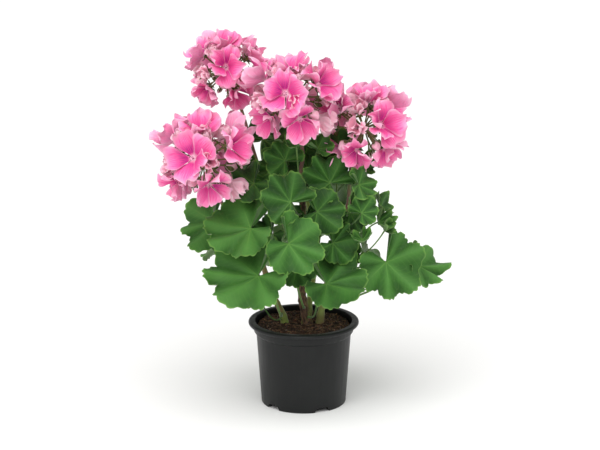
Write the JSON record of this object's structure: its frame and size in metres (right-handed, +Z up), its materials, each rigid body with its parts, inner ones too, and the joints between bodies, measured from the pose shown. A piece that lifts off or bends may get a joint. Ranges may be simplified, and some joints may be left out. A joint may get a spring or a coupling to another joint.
{
  "type": "potted geranium",
  "caption": "Zonal geranium with rounded lobed leaves and pink flower heads on long stalks, growing in a round black nursery pot filled with soil",
  "frame": {"origin": "centre of the pot's standing face", "axes": "+Z up, -Y the front of the plant, +X to its right as seen from the front"},
  "size_m": [0.3112, 0.2128, 0.3961],
  "materials": {
    "pot_plastic": "matte",
    "soil": "matte",
    "stem_bark": "matte",
    "stem_green": "satin",
    "stalk": "satin",
    "petals": "matte",
    "leaves": "satin"
  },
  "bodies": {
    "root": {"back_stem": "stem_green", "floret_left_side_1": "petals", "floret_left_side_2": "petals", "floret_left_side_3": "petals", "floret_left_side_4": "petals", "floret_left_side_5": "petals", "floret_left_top": "petals", "floret_right_side_1": "petals", "floret_right_side_2": "petals", "floret_right_side_3": "petals", "floret_right_side_4": "petals", "floret_right_side_5": "petals", "floret_right_top": "petals", "floret_top_centre_side_1": "petals", "floret_top_centre_side_2": "petals", "floret_top_centre_side_3": "petals", "floret_top_centre_side_4": "petals", "floret_top_centre_side_5": "petals", "floret_top_centre_top": "petals", "floret_top_left_side_1": "petals", "floret_top_left_side_2": "petals", "floret_top_left_side_3": "petals", "floret_top_left_side_4": "petals", "floret_top_left_side_5": "petals", "floret_top_left_top": "petals", "leaf_back_centre_low": "leaves", "leaf_back_left_low": "leaves", "leaf_back_left_mid": "leaves", "leaf_back_right_low": "leaves", "leaf_back_right_mid": "leaves", "leaf_centre_round": "leaves", "leaf_centre_upper": "leaves", "leaf_front_centre": "leaves", "leaf_front_left_low": "leaves", "leaf_front_left_mid": "leaves", "leaf_front_right": "leaves", "leaf_left_back_low": "leaves", "leaf_left_inner": "leaves", "leaf_left_outer": "leaves", "leaf_left_upper": "leaves", "leaf_right_back_top": "leaves", "leaf_right_curl": "leaves", "leaf_right_edge": "leaves", "leaf_right_inner": "leaves", "leaf_right_large": "leaves", "leaf_right_shoulder": "leaves", "leaf_right_small_high": "leaves", "leaf_right_upper": "leaves", "leaf_top_centre": "leaves", "leaf_top_left": "leaves", "leaf_top_small": "leaves", "left_stem": "stem_green", "nursery_pot": "pot_plastic", "potting_soil": "soil", "right_stem": "stem_green", "stalk_left": "stalk", "stalk_right": "stalk", "stalk_top_centre": "stalk", "stalk_top_left": "stalk", "woody_stem": "stem_bark"}
  },
  "joints": []
}
